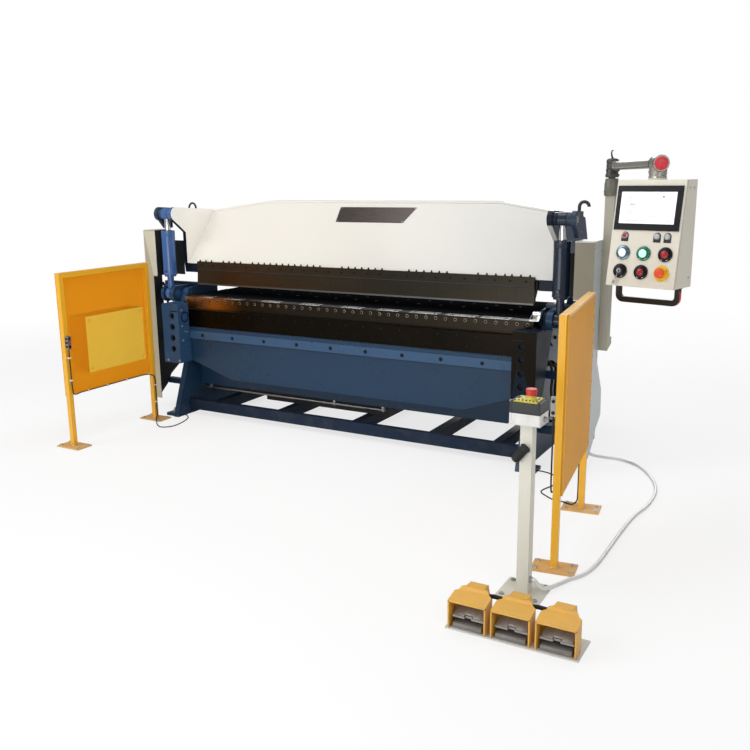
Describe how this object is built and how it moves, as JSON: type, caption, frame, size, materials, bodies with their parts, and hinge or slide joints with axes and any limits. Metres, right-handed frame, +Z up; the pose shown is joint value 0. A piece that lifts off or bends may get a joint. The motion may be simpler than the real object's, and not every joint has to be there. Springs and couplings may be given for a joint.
{
  "type": "hydraulic sheet metal folding machine",
  "caption": "Hydraulic sheet metal folder with swinging folding beam, clamping beam on two cylinders, pendant control, side guards, stop stand and foot switches.",
  "frame": {"origin": "middle of the four floor anchor holes of the side frames, at floor level", "axes": "+X along the machine to the operator's right, +Y away from the operator, +Z up"},
  "size_m": [3.7667, 2.954, 1.696],
  "materials": {
    "frame_blue": "semi-gloss",
    "arm_blue": "semi-gloss",
    "cream_paint": "semi-gloss",
    "white_paint": "semi-gloss",
    "tool_steel": "ground",
    "dark_steel": "satin",
    "chrome_rod": "polished",
    "dark_paint": "satin",
    "arm_metal": "satin",
    "black_plastic": "matte",
    "red_plastic": "gloss",
    "safety_yellow": "semi-gloss",
    "amber_sheet": "gloss",
    "white_plastic": "satin",
    "black_rubber": "matte",
    "plate_steel": "brushed",
    "tread_aluminium": "brushed",
    "conduit_metal": "satin",
    "cable_rubber": "satin"
  },
  "bodies": {
    "base": {"side_frame_left": "frame_blue", "side_frame_right": "frame_blue", "lower_bed": "frame_blue", "lower_blade": "tool_steel", "rear_table": "tool_steel", "bed_pipe": "plate_steel", "base_ladder": "frame_blue", "oil_tank": "dark_paint", "side_cover_left": "cream_paint", "side_cover_right": "cream_paint", "pendant_column": "cream_paint", "guard_frame_left": "safety_yellow", "guard_panel_left": "amber_sheet", "guard_cabinet": "cream_paint", "guard_sensor_left": "dark_paint", "guard_frame_right": "safety_yellow", "guard_panel_right": "amber_sheet", "guard_sensor_right": "plate_steel", "stand_post": "cream_paint", "stand_box": "white_plastic", "stand_grip": "black_rubber", "pedal_base": "plate_steel", "pedal_hoods": "safety_yellow", "conduit": "conduit_metal", "guard_cable_left": "cable_rubber", "guard_cable_right": "cable_rubber"},
    "folding": {"folding_beam": "arm_blue", "folding_blade": "tool_steel", "blade_holder": "dark_steel", "swing_arm_left": "arm_blue", "swing_arm_right": "arm_blue"},
    "clamping": {"clamp_beam": "white_paint", "clamp_tool": "tool_steel", "beam_ears": "frame_blue", "lifting_hooks": "dark_paint"},
    "barrel_left": {"cylinder_barrel_left": "arm_blue"},
    "barrel_right": {"cylinder_barrel_right": "arm_blue"},
    "rod_left": {"cylinder_rod_left": "chrome_rod"},
    "rod_right": {"cylinder_rod_right": "chrome_rod"},
    "swing_arm": {"pendant_arm": "arm_metal"},
    "pendant_head": {"pendant_box": "cream_paint", "pendant_panel": "black_plastic", "pendant_handle": "black_plastic"},
    "pendant_button": {"pendant_stop": "red_plastic"},
    "stand_button": {"stand_stop": "red_plastic"},
    "pedal_left": {"treadle_left": "tread_aluminium"},
    "pedal_middle": {"treadle_middle": "tread_aluminium"},
    "pedal_right": {"treadle_right": "tread_aluminium"}
  },
  "joints": [
    {"name": "folding_beam_hinge", "type": "hinge", "parent": "base", "child": "folding", "pos_m": [0, -0.334, 0.832], "axis": [-1, 0, 0], "range_deg": [0, 90]},
    {"name": "clamping_beam_hinge", "type": "hinge", "parent": "base", "child": "clamping", "pos_m": [0, 0.37, 0.88], "axis": [1, 0, 0], "range_deg": [-2, 5.2]},
    {"name": "cylinder_tilt_left", "type": "hinge", "parent": "base", "child": "barrel_left", "pos_m": [-1.402, -0.408, 0.838], "axis": [1, 0, 0], "range_deg": [-2.1, 5.2]},
    {"name": "rod_slide_left", "type": "slide", "parent": "barrel_left", "child": "rod_left", "axis": [0, 0, 1], "range_m": [-0.0725, 0.0285]},
    {"name": "cylinder_tilt_right", "type": "hinge", "parent": "base", "child": "barrel_right", "pos_m": [1.402, -0.408, 0.838], "axis": [1, 0, 0], "range_deg": [-2.1, 5.2]},
    {"name": "rod_slide_right", "type": "slide", "parent": "barrel_right", "child": "rod_right", "axis": [0, 0, 1], "range_m": [-0.0725, 0.0285]},
    {"name": "pendant_swing", "type": "hinge", "parent": "base", "child": "swing_arm", "pos_m": [1.617, -0.277, 1.6], "axis": [0, 0, 1], "range_deg": [-2, 50]},
    {"name": "pendant_box_swivel", "type": "hinge", "parent": "swing_arm", "child": "pendant_head", "pos_m": [2.00971, -1.05444, 1.6], "axis": [0, 0, 1], "range_deg": [-60, 60]},
    {"name": "pendant_stop_press", "type": "slide", "parent": "pendant_head", "child": "pendant_button", "axis": [0.2493, 0.9571, -0.1475], "range_m": [0, 0.004], "stiffness_N_per_m": 500, "springref_m": -0.002},
    {"name": "stand_stop_press", "type": "slide", "parent": "base", "child": "stand_button", "axis": [0, 0, -1], "range_m": [0, 0.004], "stiffness_N_per_m": 500, "springref_m": -0.002},
    {"name": "treadle_press_left", "type": "hinge", "parent": "base", "child": "pedal_left", "pos_m": [1.694, -2.231, 0.044], "axis": [1, 0, 0], "range_deg": [0, 8], "stiffness_Nm_per_rad": 12, "springref_deg": -8.59},
    {"name": "treadle_press_middle", "type": "hinge", "parent": "base", "child": "pedal_middle", "pos_m": [1.86, -2.231, 0.044], "axis": [1, 0, 0], "range_deg": [0, 8], "stiffness_Nm_per_rad": 12, "springref_deg": -8.59},
    {"name": "treadle_press_right", "type": "hinge", "parent": "base", "child": "pedal_right", "pos_m": [2.026, -2.231, 0.044], "axis": [1, 0, 0], "range_deg": [0, 8], "stiffness_Nm_per_rad": 12, "springref_deg": -8.59}
  ],
  "couplings": [
    {"joint": "cylinder_tilt_left", "follows": "clamping_beam_hinge", "ratio": 0.955},
    {"joint": "rod_slide_left", "follows": "clamping_beam_hinge", "m_per_rad": -0.779},
    {"joint": "cylinder_tilt_right", "follows": "clamping_beam_hinge", "ratio": 0.955},
    {"joint": "rod_slide_right", "follows": "clamping_beam_hinge", "m_per_rad": -0.779}
  ]
}
